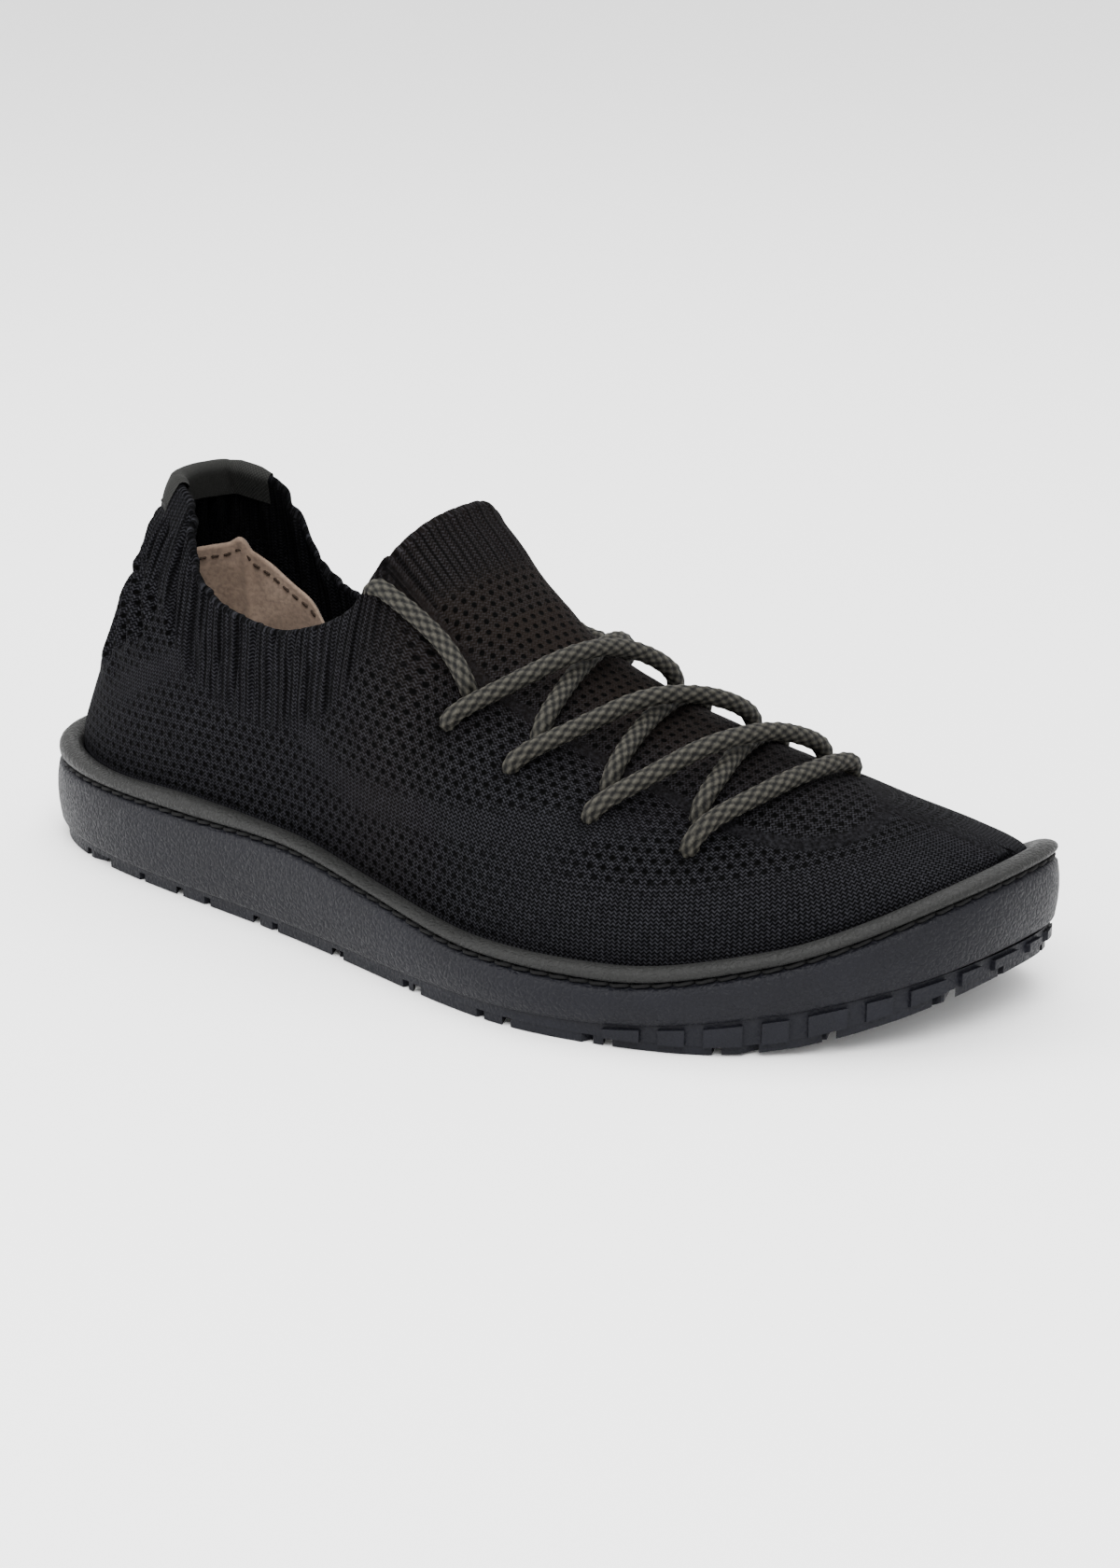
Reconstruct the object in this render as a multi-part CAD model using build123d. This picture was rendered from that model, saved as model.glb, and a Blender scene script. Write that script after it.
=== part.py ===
from build123d import *
import math
import os

# Right shoe, low knit running shoe with a flexible stitched cup sole.
# +X points to the toe, +Y to the inner (medial) side, +Z up. The origin is on the ground,
# under the middle of the shoe's bounding box. Profiles are given from the heel, in mm.

HEEL_X = -128.0            # where the back of the sole lies
KNIT = 2.2                 # thickness of the knitted upper
LACE_D = 4.2               # round braided elastic lace
BEAD_INSET = 6.1           # inner face of the sole's rolled rim, inside the widest outline
UPPER_INSET = 6.3          # outer face of the upper where it enters the rim
LUG_DEPTH = 2.0
SOLE_FLOOR = 2.0           # web of the cup under the foot
BOARD = 1.2                # stitched-in insole board
FOAM = 3.2                 # footbed foam
COVER = 0.6                # cloth on the footbed
GAP = 0.35                 # free space round the tongue flap
TALL = 130.0               # height of cutting prisms
WIDE = 80.0                # half width of cutting prisms

# Plan outline of the sole at its widest, (distance from heel, y).
OUTLINE = [
    (0.5, 4.5), (5, -10), (15, -19), (31, -26), (60, -32), (90, -36.5), (119, -42.5),
    (149, -49.5), (174, -51.7), (191, -48.7), (207, -43.2), (223, -33.7), (237, -22.3),
    (248, -10), (254, 4.7), (255.5, 17.2), (254, 31.3), (245, 43.3), (229, 49.8),
    (205, 51.7), (180, 48.3), (150, 41.3), (120, 36.3), (90, 35.2), (60, 36.2),
    (30, 34.3), (14, 29.3), (4, 19.7),
]

# Heights along the shoe, (distance from heel, z).
GROUND_LINE = [(-1, 1.4), (6, 0), (212, 0), (224, 1.2), (237, 4.8), (248, 9.5), (257, 14)]
PARTING_LINE = [(0, 3.7), (32, 3.5), (64, 3.2), (128, 3.4), (160, 4.2), (192, 4.9),
                (224, 8.9), (240, 13.0), (256, 18.5)]
GROOVE_LINE = [(0, 19.2), (64, 20.2), (96, 21.2), (128, 18), (160, 14.3), (192, 13.9),
               (224, 19.3), (256, 33.5)]
RIM_LINE = [(0, 25), (32, 23.2), (64, 24.5), (96, 24), (128, 20.2), (160, 17.1),
            (192, 17.3), (224, 22.4), (256, 36.5)]

# The foot form that the upper is knitted to: its top line, its middle and how full it is.
RIDGE = [
    (7, 25.5), (9.3, 33), (12.8, 43), (17.8, 53), (23.8, 63), (30, 74), (35, 84), (38, 91), (41, 96),
    (47, 98), (75, 99), (106, 99), (112, 97.5), (117, 93.5), (122, 88.5), (129, 81), (136, 74),
    (145, 67), (157, 61), (175, 54.5), (195, 50), (212, 46.3), (224, 43.6), (234, 41.2),
    (241, 39.2), (246, 37.4), (249.5, 36),
]
RIDGE_Y = [(0, 4.5), (30, 4.2), (60, 2.5), (100, 4), (120, 8), (145, 9), (180, 7.5),
           (210, 8), (235, 11), (250, 16)]
FULL_LATERAL = [(0, 1.6), (12, 1.7), (36, 1.9), (60, 2.4), (110, 2.5), (150, 2.5), (200, 2.3),
                (250, 2.1)]
FULL_MEDIAL = [(0, 1.6), (12, 1.7), (36, 1.9), (60, 2.3), (110, 2.3), (150, 2.2), (200, 2.0),
               (250, 1.8)]

# Collar edge seen from the side, on the outer and on the inner side of the foot.
TAB_TOP = 90.5
COLLAR_LATERAL = [(44, TAB_TOP), (52, 87.5), (56.5, 80), (61, 73), (70, 68), (87, 66),
                  (99, 69), (108, 73.5)]
COLLAR_MEDIAL = [(44, TAB_TOP), (52, 87.5), (55, 79), (57, 71), (61, 64.5), (70, 60.5),
                 (87, 60), (99, 65), (108, 72)]

# Tongue flap: it folds about a line across the instep.
TONGUE_SIDES = (-18.5, 20.5)
TONGUE_ROOT = (137.0, 73.2)          # on the outer face of the instep
TONGUE_FOOT = (113.0, 78.0)          # lower end of its top edge

# Where the lace goes through the knit, (distance from heel, y), outer side then inner side.
LATERAL_HOLES = [(141.5, -24.5), (139.0, -31.0), (159.5, -25.0), (156.5, -31.8),
                 (178.3, -26.2), (177.8, -33.2), (198.0, -22.3), (200.0, -29.0)]
MEDIAL_HOLES = [(141.0, 23.5), (149.0, 22.5), (163.0, 23.0), (170.8, 22.5),
                (183.0, 24.0), (190.8, 23.0), (201.3, 24.0), (209.0, 22.5)]
HOLE_R = 3.1

# The lace from its outer anchor, criss-cross down the instep and back up to its inner anchor.
LACE_ROUTE = [
    (-21, -26, 54), (-19.5, -25, 63), (-17.5, -22, 72), (-15, -22.5, 81), (-8, -24.5, 79.5),
    (-1, -24, 75.5), (6, -23.5, 70.5), (13, -25.5, 64), (12, -22, 57.5), (9.5, -27.5, 53),
    (13, -32, 58.5), (21, -21.5, 64), (28.5, -8.5, 69.5), (31, 5, 68.5), (34, 16, 63.5),
    (35, 23, 57.5), (34.5, 20.5, 50), (41, 20, 48.5), (43.5, 22, 54.5), (44, 12.5, 58.5),
    (46, -2, 58), (48.5, -15.5, 55), (50.5, -25.5, 50.5), (49, -24.5, 43.5), (49, -30.5, 40.5),
    (51.5, -34, 46), (59, -23, 51.5), (66, -12.5, 57), (70.5, 4, 57), (73, 15.5, 53),
    (73.5, 23, 48.5), (73, 22.5, 41), (79.5, 21, 40.5), (82, 21.5, 47.5), (82, 14, 49.5),
    (81, -0.5, 50), (78.5, -15.5, 48), (75, -24, 45.5), (73.5, -29.5, 42), (70.5, -26, 36),
    (69, -20.5, 40), (70.5, -21.5, 47), (69.5, -13.5, 50.5), (66, 0, 53), (64, 13, 53),
    (63.5, 22, 50.5), (61.5, 21, 43.5), (55, 22, 44.5), (55, 23.5, 52), (55, 15, 57.5),
    (51.5, 4.5, 61.5), (46, -7.5, 62.5), (39.5, -21.5, 58), (30.5, -33, 52.5),
    (27.5, -29.5, 46.5), (30, -23, 50), (31.5, -24.5, 57), (30, -16, 61.5), (26.5, -2, 65),
    (24, 14.5, 67.5), (22.5, 23, 61.5), (19, 19, 56.5), (13, 20, 57), (12.5, 26.5, 61.5),
    (6.5, 28.2, 61), (-0.7, 28.3, 63.7), (-8, 28.3, 66.2), (-14, 27.8, 70.5), (-18.5, 27.2, 75.5),
    (-21.5, 23.5, 72), (-20, 23.5, 63), (-21, 25, 54),
]


def smooth(points):
    """A smooth curve z(x) through points that never overshoots them."""
    xs = [p[0] for p in points]
    zs = [p[1] for p in points]
    slopes = [(zs[i + 1] - zs[i]) / (xs[i + 1] - xs[i]) for i in range(len(xs) - 1)]
    tangents = [slopes[0]]
    for before, after in zip(slopes, slopes[1:]):
        mean = 2 * before * after / (before + after) if before * after > 0 else 0.0
        tangents.append(mean)
    tangents.append(slopes[-1])

    def curve(x):
        x = min(max(x, xs[0]), xs[-1])
        i = max(k for k in range(len(xs) - 1) if xs[k] <= x)
        width = xs[i + 1] - xs[i]
        t = (x - xs[i]) / width
        rise = (1 + 2 * t) * (1 - t) ** 2 * zs[i] + t * t * (3 - 2 * t) * zs[i + 1]
        lean = t * (1 - t) ** 2 * tangents[i] - t * t * (1 - t) * tangents[i + 1]
        return rise + lean * width

    return curve


ground = smooth(GROUND_LINE)
parting = smooth(PARTING_LINE)
groove = smooth(GROOVE_LINE)
rim = smooth(RIM_LINE)
ridge = smooth(RIDGE)
ridge_y = smooth(RIDGE_Y)
full_lateral = smooth(FULL_LATERAL)
full_medial = smooth(FULL_MEDIAL)
outline_curve = Spline(*[(HEEL_X + x, y) for x, y in OUTLINE], periodic=True)
OUTLINE_STEPS = 360        # for measuring the outline
CURVE_STEPS = 32           # for drawing it again at an inset
FACETS = [-1, 6, 30, 64, 96, 128, 160, 192, 212, 220, 228, 236, 243, 250, 257]


def inset_outline(inset, steps=OUTLINE_STEPS):
    """Points of the plan outline moved inwards by inset."""
    points = []
    for i in range(steps):
        place = outline_curve.position_at(i / steps)
        tangent = outline_curve.tangent_at(i / steps)
        points.append((place.X - tangent.Y * inset, place.Y + tangent.X * inset))
    return points


def half_outlines(inset):
    """The inset outline as an outer-side and an inner-side list, both heel to toe."""
    points = inset_outline(inset)
    back = min(range(len(points)), key=lambda i: points[i][0])
    points = points[back:] + points[:back + 1]
    front = max(range(len(points)), key=lambda i: points[i][0])
    return points[:front + 1], points[front:][::-1]


def y_on(points, x):
    """Height of a polyline running along +X, at x."""
    for (xa, ya), (xb, yb) in zip(points, points[1:]):
        if xa <= x <= xb:
            return ya + (yb - ya) * (x - xa) / max(xb - xa, 1e-9)
    return points[0][1] if x < points[0][0] else points[-1][1]


def side_slab(low, high):
    """Everything between two height lines, across the whole width, in flat facets."""
    bottom = [(HEEL_X + x, 0, low(x)) for x in FACETS]
    top = [(HEEL_X + x, 0, high(x)) for x in reversed(FACETS)]
    face = make_face(Polyline(*bottom, *top, close=True))
    return extrude(face, amount=WIDE, both=True)


def plan_prism(inset):
    """Upright prism on the inset outline."""
    edge = Spline(*[(x, y, -5) for x, y in inset_outline(inset, CURVE_STEPS)], periodic=True)
    return extrude(make_face(edge), amount=TALL, dir=(0, 0, 1))


def layer(inset, low, high):
    """A layer of the sole: inset outline between two height lines."""
    return plan_prism(inset) & side_slab(low, high)


def cup_floor(x):
    return parting(x) + SOLE_FLOOR


def board_top(x):
    return cup_floor(x) + BOARD


def foam_top(x):
    return board_top(x) + FOAM


def cover_top(x):
    return foam_top(x) + COVER


def lug_top(x):
    return ground(x) + LUG_DEPTH


def as_part(shape, name):
    """One compound of the shape's solids, under the node's name."""
    part = Compound(children=[Solid(s.wrapped) for s in shape.solids()])
    part.label = name
    return part


# ---------------------------------------------------------------- sole

TOE_BLOCKS = 56            # places for blocks round the whole outline
TOE_BLOCKS_FROM = 190.0    # they start this far from the heel


def toe_blocks():
    """Raised blocks on the tread's side face where it turns up round the toe."""
    ring = inset_outline(0.3, TOE_BLOCKS)
    places = zip(ring, ring[1:] + ring[:1])
    boxes = []
    for i, ((x, y), (next_x, next_y)) in enumerate(places):
        if x > HEEL_X + TOE_BLOCKS_FROM:
            turn = math.degrees(math.atan2(next_y - y, next_x - x))
            box = Box(5.5 if i % 2 else 8.0, 7, 60)
            boxes.append(box.rotate(Axis.Z, turn).translate((x, y, 20)))
    tall = layer(0.3, lug_top, lambda x: max(parting(x) - 1.0, lug_top(x) + 0.3))
    return (tall - plan_prism(2.4)) & Compound(children=boxes)


def tread():
    """Outsole: a thin web that turns up at the toe, with slanted block lugs."""
    web = layer(1.3, lug_top, parting)
    lugs = layer(1.6, ground, lambda x: lug_top(x) + 0.01)
    for i in range(20):
        slant = 24 if i % 2 else -24
        strip = Box(2.0, 140, 60).rotate(Axis.Z, slant)
        lugs -= strip.translate((HEEL_X + 10 + i * 12.5, 0, 10))
    for y in (-24, -7, 10, 27):
        lugs -= Box(300, 1.8, 60).translate((0, y, 10))
    return web + lugs + toe_blocks()


def cup_sole():
    """Floor, side wall, stitching channel and rolled rim in one moulding."""
    wall = layer(0, parting, lambda x: groove(x) - 0.8)
    neck = layer(1.5, lambda x: groove(x) - 0.9, lambda x: groove(x) + 0.9)
    lip = layer(0.6, lambda x: groove(x) + 0.8, rim)
    block = wall + neck + lip
    inside = plan_prism(BEAD_INSET) & side_slab(cup_floor, lambda x: 80)
    return block - inside


def stitch_row(places, radius, duty=0.72):
    """Round thread stitches between successive places, with a gap after each."""
    stitches = []
    for a, b in zip(places, places[1:]):
        start = Vector(*a)
        run = (Vector(*b) - start) * duty
        plane = Plane(origin=start, z_dir=run)
        stitches.append(extrude(plane * Circle(radius), amount=run.length))
    return stitches


def sidewall_stitching():
    """Heavy thread lying in the channel under the rim."""
    ring = inset_outline(0.95, 132)
    places = [(x, y, groove(x - HEEL_X)) for x, y in ring]
    return Compound(children=stitch_row(places + places[:1], 0.45))


# ---------------------------------------------------------------- foot form

def inner_ridge(offset):
    """The ridge line moved inwards, as a curve over the same distance."""
    points = []
    for i in range(122):
        x = 7 + i * 2
        slope = (ridge(x + 0.2) - ridge(x - 0.2)) / 0.4
        size = math.hypot(1, slope)
        points.append((x + offset * slope / size, ridge(x) - offset / size))
    return points


def form(offset, drop):
    """The closed foot form, offset inwards, as a loft of arches along the shoe."""
    lateral, medial = half_outlines(UPPER_INSET + offset)
    top_line = [(HEEL_X + x, z) for x, z in inner_ridge(offset)]
    first = 7.4 + offset
    last = 248.8 - offset
    stations = [first, first + 1.8, first + 5, first + 10, first + 18, first + 27, 41, 56, 80, 104,
                113, 120, 129, 142, 160, 186, 210, 228, last - 10, last - 4.5, last - 1.4, last]
    sections = [arch(x, lateral, medial, top_line, drop) for x in stations]
    return loft(sections)


ARCH_STEPS = 10


def arch(x, lateral, medial, top_line, drop):
    """Cross-section of the form: upright sides inside the rim, then a full arch."""
    place = HEEL_X + x
    left = y_on(lateral, place)
    right = y_on(medial, place)
    middle = min(max(ridge_y(x), left + 2), right - 2)
    base = cup_floor(x) + drop
    spring = rim(x) - 1
    top = max(y_on(top_line, place), spring + 0.6)
    points = []
    for i in range(ARCH_STEPS + 1):
        turn = math.pi * i / ARCH_STEPS
        full = full_lateral(x) if turn < math.pi / 2 else full_medial(x)
        c = abs(math.cos(turn))
        s = math.sin(turn)
        reach = (c ** full + max(s, 1e-9) ** full) ** (-1 / full)
        half = left - middle if turn < math.pi / 2 else right - middle
        points.append((place, middle + half * reach * c, spring + (top - spring) * reach * s))
    crown = Spline(*points)
    left_side = Line((place, left, base), crown @ 0)
    right_side = Line(crown @ 1, (place, right, base))
    return make_face([left_side, crown, right_side, Line(right_side @ 1, left_side @ 0)])


FORMS = {}


def form_at(offset):
    """The form at an offset; inner ones reach down through the bottom."""
    if offset not in FORMS:
        FORMS[offset] = form(offset, 0.5 if offset <= 0 else -1.5)
    return FORMS[offset]


def shell(zone, outer, inner):
    """The part of a skin of the form, between two offsets, that lies in a zone."""
    return (form_at(outer) & zone) - form_at(inner)


def side_prism(points, y_low, y_high):
    """Prism across the shoe on a side-view outline given from the heel."""
    corners = [(HEEL_X + x, y_low, z) for x, z in points]
    return extrude(make_face(Polyline(*corners, close=True)), amount=y_high - y_low, dir=(0, 1, 0))


def collar_prism(edge, y_low, y_high):
    """Everything above a collar edge, back to behind the heel."""
    corners = [(HEEL_X + x, y_low, z) for x, z in edge]
    top = Spline(*corners)
    close = Polyline(corners[-1], (corners[-1][0], y_low, TALL), (HEEL_X - 10, y_low, TALL),
                     (HEEL_X - 10, y_low, TAB_TOP), corners[0])
    return extrude(make_face([top, *close.edges()]), amount=y_high - y_low, dir=(0, 1, 0))


def tongue_prism(grow):
    """The space of the tongue flap, grown on every side."""
    low, high = TONGUE_SIDES
    root_x, root_z = TONGUE_ROOT
    foot_x, foot_z = TONGUE_FOOT
    tip = (foot_x + 0.35 * (TALL - foot_z), TALL)
    heel_end = (foot_x - 0.35 * (foot_z - 40) - grow, 40)
    outline = [heel_end, tip, (root_x + 60 + grow * 1.4, root_z + 60),
               (root_x - 40 + grow * 1.4, root_z - 40)]
    return side_prism(outline, low - grow, high + grow)


def opening_prisms():
    """Cutters for the foot opening: both collar edges and the space behind the tongue."""
    foot_x, foot_z = TONGUE_FOOT
    behind = [(100, 60), (foot_x - 0.35 * (foot_z - 60), 60), (foot_x + 0.35 * 32, foot_z + 32),
              (100, foot_z + 32)]
    front_lateral = [(100, 100), (106, 73), (108, 73.5), (112, 79), (115, 90), (117, 100)]
    front_medial = [(100, 100), (106, 71), (108, 72), (112, 78.5), (115, 90), (117, 100)]
    low, high = TONGUE_SIDES
    return [
        collar_prism(COLLAR_LATERAL, -WIDE, 2),
        collar_prism(COLLAR_MEDIAL, 2, WIDE),
        side_prism(behind, low - GAP, high + GAP),
        side_prism(front_lateral, -WIDE, low - GAP),
        side_prism(front_medial, high + GAP, WIDE),
    ]


# ---------------------------------------------------------------- lace

def surface_point(x, y):
    """Point of the form's outer face over (x from heel, y), and its outward direction."""
    lateral, medial = half_outlines(UPPER_INSET)

    def height(px, py):
        left = y_on(lateral, HEEL_X + px)
        right = y_on(medial, HEEL_X + px)
        middle = ridge_y(px)
        full = full_lateral(px) if py < middle else full_medial(px)
        share = (middle - py) / (middle - left) if py < middle else (py - middle) / (right - middle)
        rise = (1 - min(share, 1) ** full) ** (1 / full)
        return rim(px) - 1 + (ridge(px) - rim(px) + 1) * rise

    z = height(x, y)
    slope_x = (height(x + 0.5, y) - height(x - 0.5, y)) / 1.0
    slope_y = (height(x, y + 0.5) - height(x, y - 0.5)) / 1.0
    return Vector(HEEL_X + x, y, z), Vector(-slope_x, -slope_y, 1).normalized()


def lace_holes():
    """Round punches through the knit at each lace hole."""
    punches = []
    for x, y in LATERAL_HOLES + MEDIAL_HOLES:
        place, outward = surface_point(x, y)
        plane = Plane(origin=place - outward * 6, z_dir=outward)
        punches.append(extrude(plane * Circle(HOLE_R), amount=12))
    return punches


def lace_radii():
    """Bend radius at each corner of the route, as large as its two runs allow."""
    points = [Vector(*p) for p in LACE_ROUTE]
    radii = []
    for a, b, c in zip(points, points[1:], points[2:]):
        turn = math.radians((b - a).get_angle(c - b))
        shorter = min((b - a).length, (c - b).length)
        radii.append(0.45 * shorter / math.tan(turn / 2))
    return radii


def lace():
    """The whole lace as one tube along its real route."""
    radii = lace_radii()
    path = FilletPolyline(*LACE_ROUTE, radius=radii)
    start = Plane(origin=path @ 0, z_dir=path % 0)
    return sweep(start * Circle(LACE_D / 2), path=path)


def lace_anchor(end, side):
    """Sewn tab inside the collar that the lace's end is bar-tacked to."""
    x, y, z = end
    block = Box(9, 10, 9).translate((x, y + side * 2.6, z - 4.55))
    return block & form_at(KNIT + 0.1)


# ---------------------------------------------------------------- inside the heel

def heel_zone(front, low, high_points):
    """Side-view zone of the heel under a top edge."""
    return side_prism([(-10, low), (front, low)] + high_points[::-1] + [(-10, high_points[0][1])],
                      -WIDE, WIDE)


LINING_TOP = [(0, 69), (30, 69.5), (38, 70.5), (41, 72), (44, 68.5), (49, 65), (53, 61), (57, 57.5),
              (60, 52), (66, 40), (78, 30)]
HEEL_MIDDLE = 4.5


def arch_y(x, z, side, offset):
    """Side position of the form at a height, on one side, a given depth inside it."""
    lateral, medial = half_outlines(UPPER_INSET + offset)
    top_line = [(HEEL_X + a, b) for a, b in inner_ridge(offset)]
    place = HEEL_X + x
    spring = rim(x) - 1
    top = y_on(top_line, place)
    full = full_lateral(x) if side < 0 else full_medial(x)
    edge = y_on(lateral if side < 0 else medial, place)
    rise = min(max((z - spring) / (top - spring), 0), 1)
    return ridge_y(x) + (edge - ridge_y(x)) * (1 - rise ** full) ** (1 / full)


def heel_lining(side):
    """Suede lining of one half of the heel, from the footbed to its hem."""
    zone = heel_zone(80, 14, LINING_TOP)
    half = Box(400, 80, 300).translate((0, HEEL_MIDDLE + side * 40.02, 0))
    return shell(zone & half, KNIT + 0.9, KNIT + 1.9)


def heel_counter():
    """Thermoplastic stiffener between the knit and the lining."""
    zone = heel_zone(66, 12, [(0, 52), (30, 52), (52, 40), (66, 24)])
    return shell(zone, KNIT + 0.05, KNIT + 0.85)


def lining_seam():
    """Tape over the join of the two lining halves at the back of the heel."""
    zone = heel_zone(44, 15, [(0, 66), (44, 66)])
    strip = Box(400, 5, 300).translate((0, HEEL_MIDDLE, 0))
    return shell(zone & strip, KNIT + 1.95, KNIT + 2.45)


def lining_hem_stitching():
    """Stitches just under the lining's top edge on both sides."""
    top = smooth(LINING_TOP)
    stitches = []
    for side in (-1, 1):
        xs = [44 + i * 1.8 for i in range(10)]
        places = [(HEEL_X + x, arch_y(x, top(x) - 3, side, KNIT + 2.2), top(x) - 3) for x in xs]
        stitches += stitch_row(places, 0.25)
    return Compound(children=stitches)


def tab_binding(upper):
    """Folded strip over the top edge of the heel tab."""
    zone = side_prism([(-10, 84), (46, 84), (50, 92.2), (-10, 92.2)], -WIDE, WIDE)
    return shell(zone, -0.9, KNIT + 0.9) - upper


def tab_stitching():
    """One row of stitches through the binding, on its outer face."""
    stitches = []
    for side in (-1, 1):
        xs = [36 + i * 2.6 for i in range(5)]
        places = [(HEEL_X + x, arch_y(x, 86, side, -1.2), 86) for x in xs]
        stitches += stitch_row(places, 0.35)
    return Compound(children=stitches)


def eyelet_tape(y_low, y_high):
    """Reinforcing tape bonded behind a row of lace holes."""
    zone = Box(76, y_high - y_low, 60).translate((HEEL_X + 170, (y_low + y_high) / 2, 64))
    tape = shell(zone, KNIT + 0.05, KNIT + 0.55)
    for punch in lace_holes():
        tape -= punch
    return tape


# ---------------------------------------------------------------- upper

def knit_upper():
    """One-piece knit shell with its collar, heel tab and lace holes."""
    body = form_at(0) - form_at(KNIT)
    for cutter in opening_prisms() + [tongue_prism(GAP)] + lace_holes():
        body -= cutter
    return max(body.solids(), key=lambda s: s.volume)


def tongue():
    """Ribbed flap that carries the instep knit up in front of the ankle."""
    flap = shell(tongue_prism(0), 0, KNIT)
    return max(flap.solids(), key=lambda s: s.volume)


def main():
    os.makedirs("parts", exist_ok=True)
    upper = knit_upper()
    parts = {
        "tread": tread(),
        "cup_sole": cup_sole(),
        "sidewall_stitching": sidewall_stitching(),
        "insole_board": layer(UPPER_INSET + KNIT + 1.4, cup_floor, board_top),
        "footbed_foam": layer(UPPER_INSET + KNIT + 1.4, board_top, foam_top),
        "footbed_cover": layer(UPPER_INSET + KNIT + 1.4, foam_top, cover_top),
        "knit_upper": upper,
        "tongue": tongue(),
        "heel_counter": heel_counter(),
        "heel_lining_lateral": heel_lining(-1),
        "heel_lining_medial": heel_lining(1),
        "lining_seam_tape": lining_seam(),
        "lining_hem_stitching": lining_hem_stitching(),
        "heel_tab_binding": tab_binding(upper),
        "heel_tab_stitching": tab_stitching(),
        "eyelet_tape_lateral": eyelet_tape(-40, -17.5),
        "eyelet_tape_medial": eyelet_tape(16, 33),
        "lace": lace(),
        "lace_anchor_lateral": lace_anchor(LACE_ROUTE[0], -1),
        "lace_anchor_medial": lace_anchor(LACE_ROUTE[-1], 1),
    }
    for name, shape in parts.items():
        export_step(as_part(shape, name), f"parts/{name}.step")
        print(name, round(shape.volume))


main()
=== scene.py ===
# Looks of the knit running shoe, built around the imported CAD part. Profiles are in millimetres, with x
# from the back of the sole. Meshes are written in metres in the part's frame: +X to the toe, +Y to the
# inner side, +Z up.
import math

import bpy
import numpy as np
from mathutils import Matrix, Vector


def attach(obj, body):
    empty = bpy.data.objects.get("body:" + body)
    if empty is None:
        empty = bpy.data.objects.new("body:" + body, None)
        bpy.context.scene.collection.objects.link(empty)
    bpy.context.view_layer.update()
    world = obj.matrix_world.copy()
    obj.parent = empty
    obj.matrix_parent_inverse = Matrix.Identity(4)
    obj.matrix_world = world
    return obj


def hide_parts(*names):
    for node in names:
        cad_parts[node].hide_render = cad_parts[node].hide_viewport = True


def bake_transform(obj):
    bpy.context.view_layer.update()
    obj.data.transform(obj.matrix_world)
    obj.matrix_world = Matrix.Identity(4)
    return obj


MM = 0.001
HEEL_X = -128.0

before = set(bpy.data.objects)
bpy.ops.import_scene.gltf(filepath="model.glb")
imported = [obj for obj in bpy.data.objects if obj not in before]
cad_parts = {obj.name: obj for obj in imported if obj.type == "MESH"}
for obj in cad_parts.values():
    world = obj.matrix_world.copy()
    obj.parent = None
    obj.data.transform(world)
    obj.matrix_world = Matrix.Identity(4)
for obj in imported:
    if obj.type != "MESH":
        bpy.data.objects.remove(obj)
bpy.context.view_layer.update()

# ---------------------------------------------------------------- camera

AZIMUTH = math.radians(36.72)
ELEVATION = math.radians(20.19)
DISTANCE = 0.7991
LOOK_AT = Vector((-0.0005, 0.00325, 0.0))
LENS = 80.4
SHIFT = (0.0402, 0.0827)


def add_camera():
    """Camera at the photograph's viewing angle and framing."""
    back = Vector((math.sin(AZIMUTH) * math.cos(ELEVATION), -math.cos(AZIMUTH) * math.cos(ELEVATION),
                   math.sin(ELEVATION)))
    data = bpy.data.cameras.new("camera")
    data.lens = LENS
    data.shift_x, data.shift_y = SHIFT
    data.clip_start = 0.01
    camera = bpy.data.objects.new("camera", data)
    camera.location = LOOK_AT + back * DISTANCE
    camera.rotation_euler = (-back).to_track_quat("-Z", "Y").to_euler()
    bpy.context.scene.collection.objects.link(camera)
    bpy.context.scene.camera = camera


add_camera()

# ---------------------------------------------------------------- lace

LACE_D = 4.2
# The lace's corners in the part frame, from its outer anchor down the instep and back up to its
# inner anchor.
LACE_ROUTE = [
    (-21, -26, 54), (-19.5, -25, 63), (-17.5, -22, 72), (-15, -22.5, 81), (-8, -24.5, 79.5),
    (-1, -24, 75.5), (6, -23.5, 70.5), (13, -25.5, 64), (12, -22, 57.5), (9.5, -27.5, 53),
    (13, -32, 58.5), (21, -21.5, 64), (28.5, -8.5, 69.5), (31, 5, 68.5), (34, 16, 63.5),
    (35, 23, 57.5), (34.5, 20.5, 50), (41, 20, 48.5), (43.5, 22, 54.5), (44, 12.5, 58.5),
    (46, -2, 58), (48.5, -15.5, 55), (50.5, -25.5, 50.5), (49, -24.5, 43.5), (49, -30.5, 40.5),
    (51.5, -34, 46), (59, -23, 51.5), (66, -12.5, 57), (70.5, 4, 57), (73, 15.5, 53),
    (73.5, 23, 48.5), (73, 22.5, 41), (79.5, 21, 40.5), (82, 21.5, 47.5), (82, 14, 49.5),
    (81, -0.5, 50), (78.5, -15.5, 48), (75, -24, 45.5), (73.5, -29.5, 42), (70.5, -26, 36),
    (69, -20.5, 40), (70.5, -21.5, 47), (69.5, -13.5, 50.5), (66, 0, 53), (64, 13, 53),
    (63.5, 22, 50.5), (61.5, 21, 43.5), (55, 22, 44.5), (55, 23.5, 52), (55, 15, 57.5),
    (51.5, 4.5, 61.5), (46, -7.5, 62.5), (39.5, -21.5, 58), (30.5, -33, 52.5),
    (27.5, -29.5, 46.5), (30, -23, 50), (31.5, -24.5, 57), (30, -16, 61.5), (26.5, -2, 65),
    (24, 14.5, 67.5), (22.5, 23, 61.5), (19, 19, 56.5), (13, 20, 57), (12.5, 26.5, 61.5),
    (6.5, 28.2, 61), (-0.7, 28.3, 63.7), (-8, 28.3, 66.2), (-14, 27.8, 70.5), (-18.5, 27.2, 75.5),
    (-21.5, 23.5, 72), (-20, 23.5, 63), (-21, 25, 54),
]


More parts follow.
